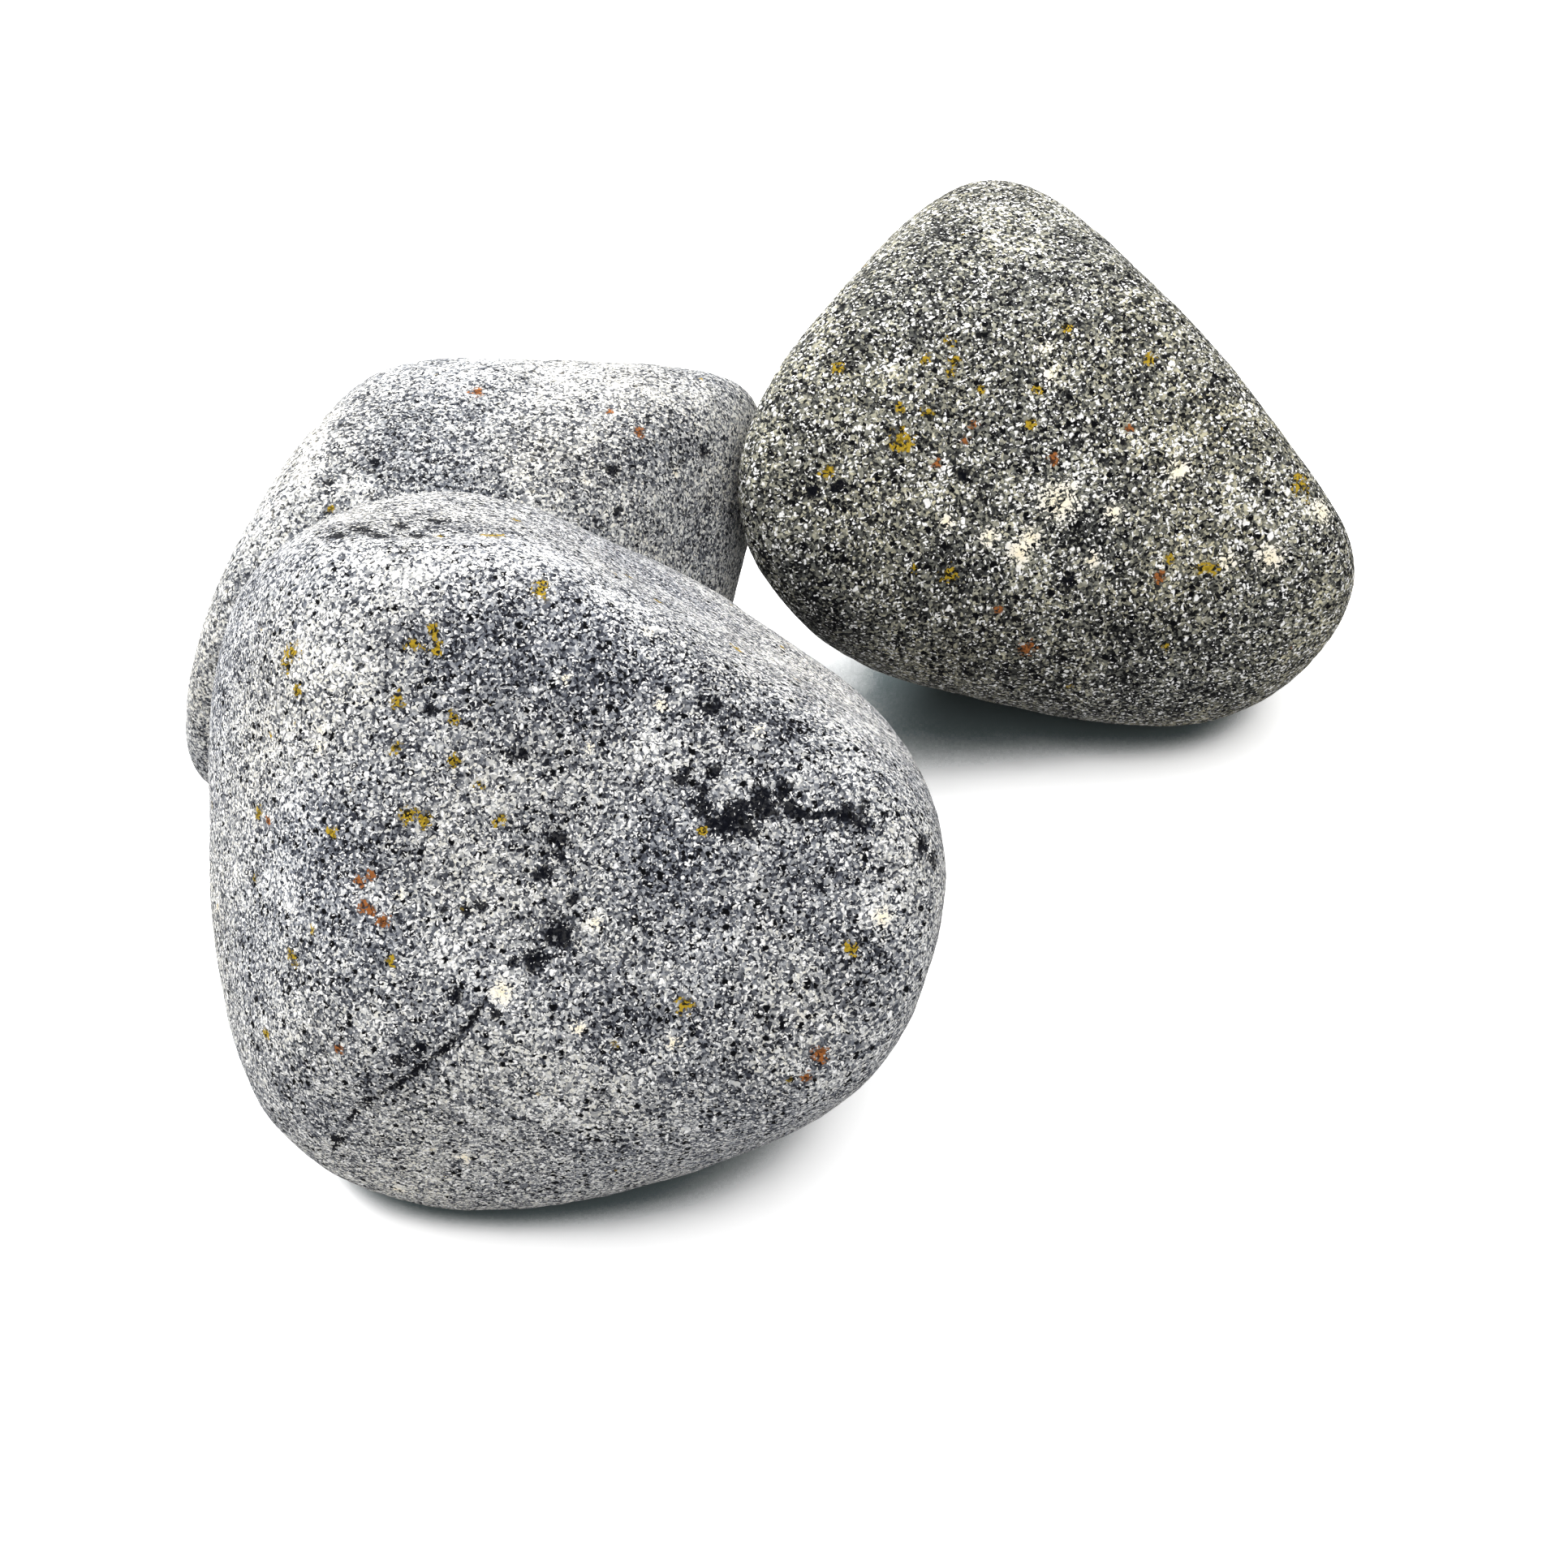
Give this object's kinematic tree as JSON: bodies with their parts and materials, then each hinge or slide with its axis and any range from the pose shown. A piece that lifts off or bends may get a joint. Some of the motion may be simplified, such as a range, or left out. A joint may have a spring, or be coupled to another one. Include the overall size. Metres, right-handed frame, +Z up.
{
  "type": "basalt massage stone set",
  "caption": "Tumbled basalt massage stones resting as a set: one lies flat and the others lean on it, each loose, palm-sized and with a worn flat seat.",
  "frame": {"origin": "under the middle of the set's bounding box, on the table that the stones stand on", "axes": "+Z up, +Y from the front stone back to the stones behind it, +X to the right as seen from the front stone"},
  "size_m": [0.1168, 0.1194, 0.0597],
  "materials": {
    "back_basalt": "tumbled, unpolished",
    "leaning_basalt": "tumbled, unpolished",
    "front_basalt": "tumbled, unpolished"
  },
  "bodies": {
    "back_stone_body": {"back_stone": "back_basalt"},
    "leaning_stone_body": {"leaning_stone": "leaning_basalt"},
    "front_stone_body": {"front_stone": "front_basalt"}
  },
  "joints": [
    {"name": "leaning_stone_lift", "type": "slide", "parent": "back_stone_body", "child": "leaning_stone_body", "axis": [0, 0, 1], "range_m": [0, 0.1]},
    {"name": "front_stone_lift", "type": "slide", "parent": "back_stone_body", "child": "front_stone_body", "axis": [0, 0, 1], "range_m": [0, 0.1]}
  ]
}
